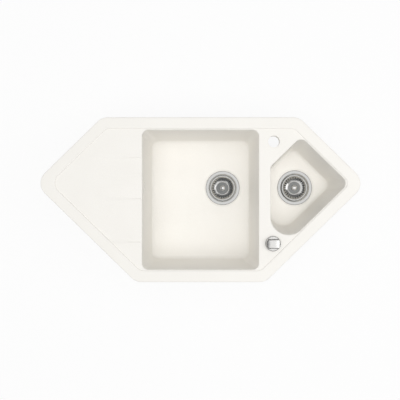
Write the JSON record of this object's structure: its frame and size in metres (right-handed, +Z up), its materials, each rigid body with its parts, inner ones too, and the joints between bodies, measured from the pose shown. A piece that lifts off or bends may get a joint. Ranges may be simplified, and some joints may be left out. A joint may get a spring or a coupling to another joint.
{
  "type": "kitchen sink",
  "caption": "Corner kitchen sink of moulded stone composite with a main bowl, a small bowl, a drainer, basket strainers, a remote waste knob, overflow and clamps.",
  "frame": {"origin": "centre of the outline, on the worktop plane under the rim", "axes": "+Z up, +Y to the back edge with the tap hole, +X to the side with the small bowl"},
  "size_m": [0.97, 0.5, 0.3818],
  "materials": {
    "granite_composite": "fine matte grain",
    "rubber": "matte",
    "polished_steel": "pressed and polished",
    "chrome": "plated and polished",
    "machined_steel": "turned",
    "grey_plastic": "moulded",
    "light_plastic": "moulded",
    "dark_plastic": "moulded",
    "zinc_metal": "zinc plated",
    "brass": "turned"
  },
  "bodies": {
    "sink": {"sink_body": "granite_composite", "rim_seal": "rubber", "main_strainer_cup": "polished_steel", "main_top_seal": "rubber", "main_lower_seal": "rubber", "main_waste_body": "grey_plastic", "main_clamp_bolt": "machined_steel", "small_strainer_cup": "polished_steel", "small_top_seal": "rubber", "small_lower_seal": "rubber", "small_waste_body": "grey_plastic", "small_clamp_bolt": "machined_steel", "lever_cable_gland": "dark_plastic", "knob_rosette": "chrome", "knob_gasket": "rubber", "knob_housing": "zinc_metal", "knob_backnut": "zinc_metal", "drum_cover": "dark_plastic", "drum_cable_gland": "dark_plastic", "overflow_gasket": "rubber", "overflow_elbow": "grey_plastic", "overflow_screws": "machined_steel", "overflow_pipe": "light_plastic", "overflow_nuts": "light_plastic", "tee_pipe": "grey_plastic", "elbow_pipe": "grey_plastic", "cross_pipe": "light_plastic", "slip_nuts": "light_plastic", "slip_washers": "rubber", "clamp_inserts": "brass", "clamp_screws": "zinc_metal"},
    "main_basket": {"main_basket": "polished_steel", "main_basket_seal": "rubber", "main_basket_knob": "chrome"},
    "small_basket": {"small_basket": "polished_steel", "small_basket_seal": "rubber", "small_basket_knob": "chrome"},
    "lift_pin": {"lift_pin": "machined_steel"},
    "lift_lever": {"lift_lever": "machined_steel"},
    "knob": {"control_knob": "chrome", "knob_drum": "dark_plastic"},
    "hook_1": {"clamp_hook_1": "zinc_metal"},
    "hook_2": {"clamp_hook_2": "zinc_metal"},
    "hook_3": {"clamp_hook_3": "zinc_metal"},
    "hook_4": {"clamp_hook_4": "zinc_metal"},
    "hook_5": {"clamp_hook_5": "zinc_metal"},
    "hook_6": {"clamp_hook_6": "zinc_metal"},
    "hook_7": {"clamp_hook_7": "zinc_metal"},
    "hook_8": {"clamp_hook_8": "zinc_metal"}
  },
  "joints": [
    {"name": "knob_turn", "type": "hinge", "parent": "sink", "child": "knob", "pos_m": [0.2195, -0.133, 0.005], "axis": [0, 0, -1], "range_deg": [0, 90]},
    {"name": "lever_turn", "type": "hinge", "parent": "sink", "child": "lift_lever", "pos_m": [0.094, 0.04, -0.2348], "axis": [0, 1, 0], "range_deg": [0, 32.3]},
    {"name": "pin_lift", "type": "slide", "parent": "sink", "child": "lift_pin", "axis": [0, 0, 1], "range_m": [0, 0.01]},
    {"name": "main_basket_out", "type": "slide", "parent": "lift_pin", "child": "main_basket", "axis": [0, 0, 1], "range_m": [0, 0.22]},
    {"name": "small_basket_out", "type": "slide", "parent": "sink", "child": "small_basket", "axis": [0, 0, 1], "range_m": [0, 0.19]},
    {"name": "hook_1_swing", "type": "hinge", "parent": "sink", "child": "hook_1", "pos_m": [-0.11357, -0.232, -0.043], "axis": [0, 0, -1], "range_deg": [0, 90]},
    {"name": "hook_2_swing", "type": "hinge", "parent": "sink", "child": "hook_2", "pos_m": [0.11357, -0.232, -0.043], "axis": [0, 0, -1], "range_deg": [0, 90]},
    {"name": "hook_3_swing", "type": "hinge", "parent": "sink", "child": "hook_3", "pos_m": [0.33375, -0.091, -0.043], "axis": [0, 0, -1], "range_deg": [0, 90]},
    {"name": "hook_4_swing", "type": "hinge", "parent": "sink", "child": "hook_4", "pos_m": [0.38498, 0.141, -0.043], "axis": [0, 0, -1], "range_deg": [0, 90]},
    {"name": "hook_5_swing", "type": "hinge", "parent": "sink", "child": "hook_5", "pos_m": [0.18672, 0.232, -0.043], "axis": [0, 0, -1], "range_deg": [0, 90]},
    {"name": "hook_6_swing", "type": "hinge", "parent": "sink", "child": "hook_6", "pos_m": [-0.18672, 0.232, -0.043], "axis": [0, 0, -1], "range_deg": [0, 90]},
    {"name": "hook_7_swing", "type": "hinge", "parent": "sink", "child": "hook_7", "pos_m": [-0.38498, 0.141, -0.043], "axis": [0, 0, -1], "range_deg": [0, 90]},
    {"name": "hook_8_swing", "type": "hinge", "parent": "sink", "child": "hook_8", "pos_m": [-0.33375, -0.091, -0.043], "axis": [0, 0, -1], "range_deg": [0, 90]}
  ],
  "couplings": [
    {"joint": "knob_turn", "follows": "pin_lift", "rad_per_m": 157.08},
    {"joint": "lever_turn", "follows": "pin_lift", "rad_per_m": 56.3}
  ]
}
